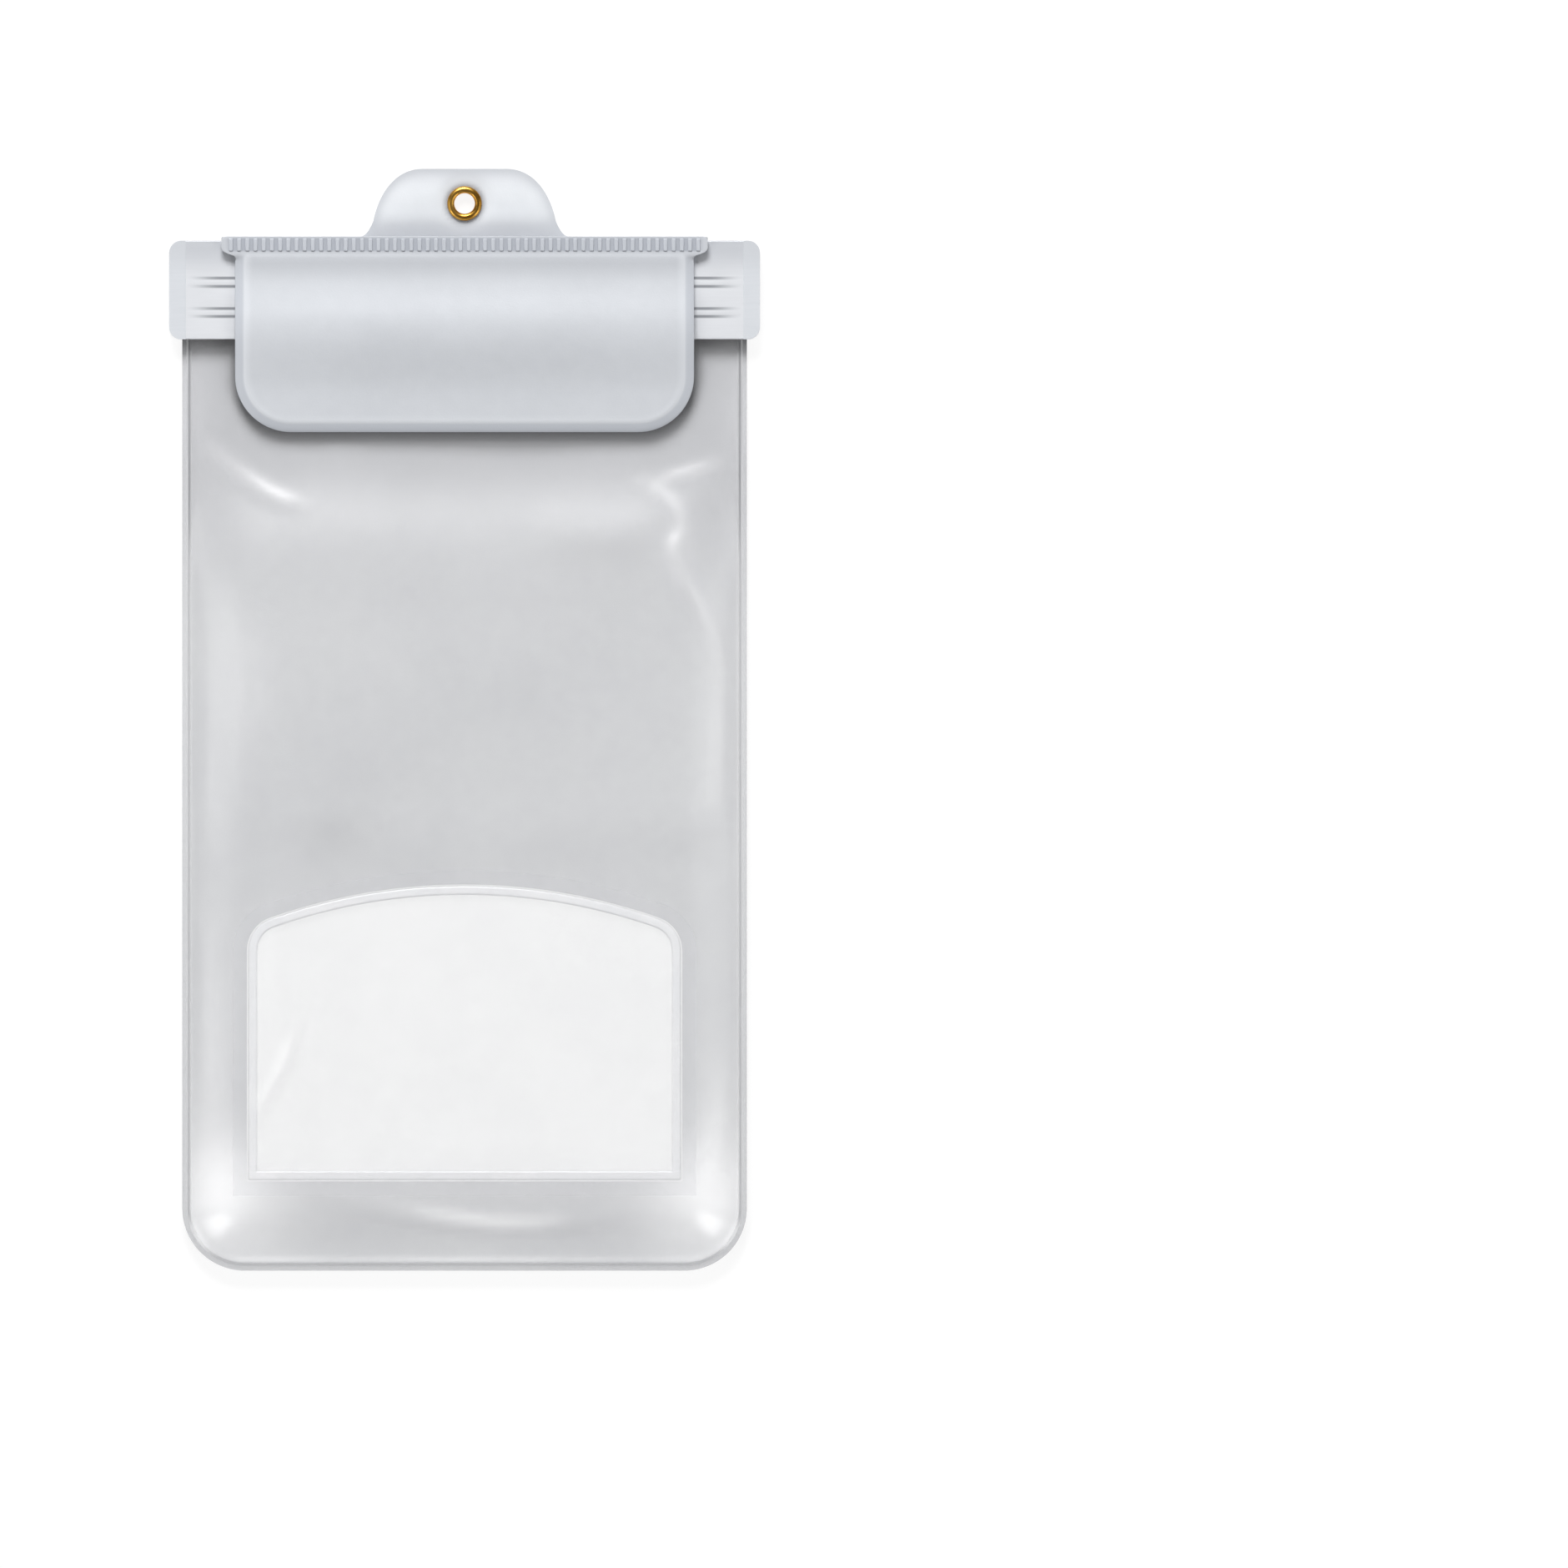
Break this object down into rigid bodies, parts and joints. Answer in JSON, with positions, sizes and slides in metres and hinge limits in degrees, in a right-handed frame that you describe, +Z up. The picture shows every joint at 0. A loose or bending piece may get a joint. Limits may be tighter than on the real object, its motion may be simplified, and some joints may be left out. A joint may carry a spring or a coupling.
{
  "type": "waterproof phone pouch",
  "caption": "Flat waterproof pouch for a phone, with a clear front, an arched camera window in its back, a press-to-close mouth under a flap, and a hanging tab with an eyelet.",
  "frame": {"origin": "on the supporting surface, under the middle of the pouch's overall outline", "axes": "+Z up out of the clear front, +Y towards the hanging tab, +X to the right when the front is looked at from above"},
  "size_m": [0.1416, 0.2642, 0.0111],
  "materials": {
    "grey_sheet": "satin light grey sheet, slightly dimpled",
    "grey_flap": "satin light grey laminated sheet",
    "closure_strip": "pale grey moulded strip, soft gloss",
    "white_trim": "white, smooth",
    "clear_film": "clear flexible film with soft creases",
    "fastener_tape": "grey hook-and-loop tape",
    "eyelet_brass": "polished brass"
  },
  "bodies": {
    "root": {"back_panel": "grey_sheet", "window_frame": "white_trim", "window_film": "clear_film", "front_film": "clear_film", "back_closure_strip": "closure_strip", "front_closure_strip": "closure_strip", "flap": "grey_flap", "loop_tape": "fastener_tape", "hook_tape": "fastener_tape", "hanging_tab": "grey_flap", "eyelet": "eyelet_brass", "eyelet_washer": "eyelet_brass"}
  },
  "joints": []
}
